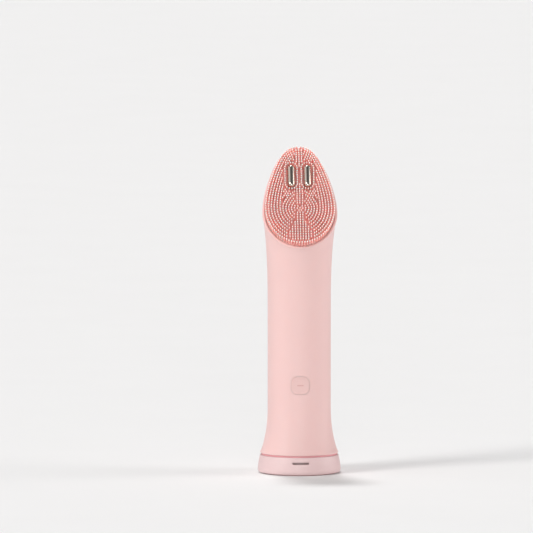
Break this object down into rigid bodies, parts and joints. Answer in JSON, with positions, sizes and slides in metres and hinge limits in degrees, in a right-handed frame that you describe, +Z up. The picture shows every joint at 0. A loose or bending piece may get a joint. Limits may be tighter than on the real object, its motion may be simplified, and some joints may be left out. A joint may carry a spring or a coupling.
{
  "type": "skin scrubber",
  "caption": "Upright battery-powered facial skin scrubber: round silicone-covered handle, slanted egg-shaped bristle face with two steel electrodes, pull-off base cap.",
  "frame": {"origin": "centre of the underside of the foot pad, on the surface it stands on", "axes": "+Z up along the handle, -Y to the front where the brush face and the button look, +X completes the right-handed set"},
  "size_m": [0.044, 0.0443, 0.1721],
  "materials": {
    "body_silicone": "satin, soft-touch liquid silicone rubber",
    "brush_silicone": "satin moulded silicone rubber",
    "cap_plastic": "fine matte ABS",
    "shell_plastic": "natural ABS",
    "plug_plastic": "matte ABS",
    "button_plastic": "soft matte ABS",
    "clear_plastic": "polished polycarbonate",
    "electrode_steel": "polished stainless steel",
    "plain_steel": "zinc-plated steel",
    "seal_rubber": "nitrile rubber",
    "foot_rubber": "matte thermoplastic rubber",
    "board_laminate": "glass-fibre laminate with solder mask",
    "chip_resin": "moulded epoxy",
    "coil_ferrite": "sintered ferrite",
    "cell_wrap": "heat-shrunk film on a steel can",
    "nickel_strip": "nickel strip",
    "wire_insulation": "silicone insulation",
    "motor_steel": "drawn steel",
    "magnet_ferrite": "bonded ferrite",
    "bush_bronze": "sintered bronze",
    "weight_metal": "sintered tungsten alloy",
    "tongue_plastic": "liquid-crystal polymer"
  },
  "bodies": {
    "handle": {"silicone_sleeve": "body_silicone", "brush_pad": "brush_silicone", "main_shell": "shell_plastic", "face_plate": "shell_plastic", "electrode_left": "electrode_steel", "electrode_right": "electrode_steel", "electrode_seals": "seal_rubber", "electrode_nuts": "plain_steel", "electrode_leads": "wire_insulation", "tact_switch": "chip_resin", "main_board": "board_laminate", "board_chips": "chip_resin", "boost_coil": "coil_ferrite", "indicator_led": "clear_plastic", "board_screws": "plain_steel", "chassis": "shell_plastic", "battery_cell": "cell_wrap", "battery_tabs": "nickel_strip", "battery_leads": "wire_insulation", "motor_can": "motor_steel", "motor_bushes": "bush_bronze", "motor_magnets": "magnet_ferrite", "motor_boot": "seal_rubber", "motor_leads": "wire_insulation", "end_plug": "plug_plastic", "end_seal": "seal_rubber", "cap_ring": "seal_rubber", "plug_screws": "plain_steel", "charge_socket_shell": "plain_steel", "charge_socket_tongue": "tongue_plastic", "charge_board": "board_laminate", "charge_leads": "wire_insulation"},
    "button": {"power_button": "button_plastic", "button_light_pipe": "clear_plastic"},
    "plunger": {"switch_plunger": "tongue_plastic"},
    "rotor": {"motor_shaft": "motor_steel", "eccentric_weight": "weight_metal"},
    "cap": {"base_cap": "cap_plastic", "foot_pad": "foot_rubber"}
  },
  "joints": [
    {"name": "button_press", "type": "slide", "parent": "handle", "child": "button", "axis": [0, 1, 0], "range_m": [0, 0.0005], "stiffness_N_per_m": 180, "springref_m": -0.002},
    {"name": "plunger_press", "type": "slide", "parent": "handle", "child": "plunger", "axis": [0, 1, 0], "range_m": [0, 0.0005]},
    {"name": "motor_spin", "type": "hinge", "parent": "handle", "child": "rotor", "pos_m": [0, 0.001, 0.106], "axis": [0, 0, 1], "continuous": true},
    {"name": "base_cap_pull", "type": "slide", "parent": "handle", "child": "cap", "axis": [0, 0, -1], "range_m": [0, 0.03]}
  ],
  "couplings": [
    {"joint": "plunger_press", "follows": "button_press", "ratio": 1}
  ]
}
